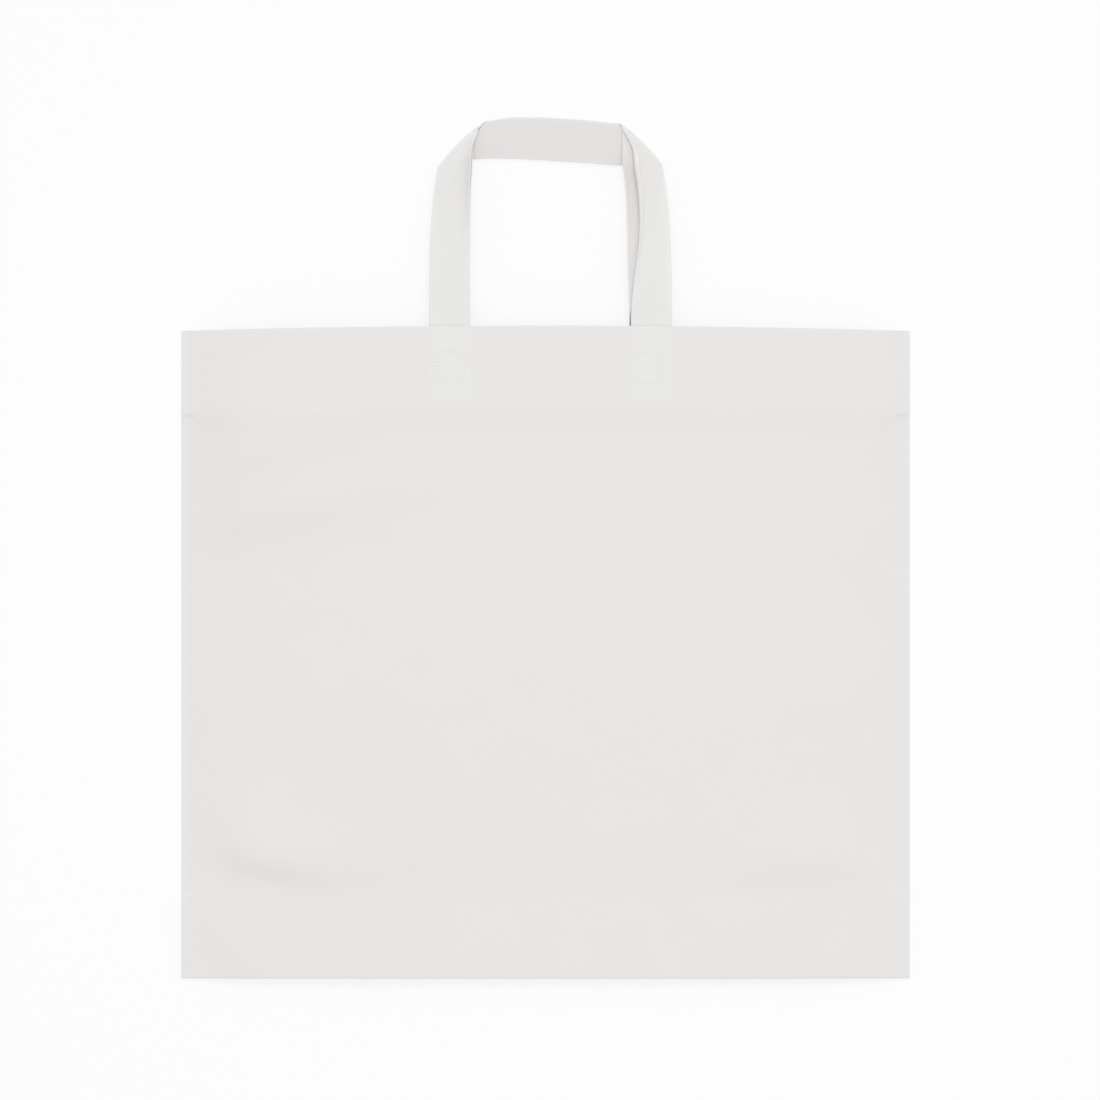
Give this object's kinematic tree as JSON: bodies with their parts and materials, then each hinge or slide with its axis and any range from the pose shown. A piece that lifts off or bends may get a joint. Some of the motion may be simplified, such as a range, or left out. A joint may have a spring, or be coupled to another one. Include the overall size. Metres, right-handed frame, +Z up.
{
  "type": "non-woven carrier bag",
  "caption": "Landscape carrier bag of white non-woven plastic fabric with a turned hem, a folded bottom gusset and short loop handles, lying flat and empty.",
  "frame": {"origin": "middle of the space the bag takes up, on the table it lies on", "axes": "+X across the bag, +Y from the bottom fold to the loop handles, +Z up from the table out of the front panel"},
  "size_m": [0.45, 0.5314, 0.0264],
  "materials": {
    "body_fabric": "matte spunbond polypropylene with a fine embossed point pattern, warm white",
    "strap_fabric": "matte spunbond polypropylene strip, two plies pressed together, warm white"
  },
  "bodies": {
    "root": {"bag_body": "body_fabric", "front_handle": "strap_fabric", "rear_handle": "strap_fabric"}
  },
  "joints": []
}
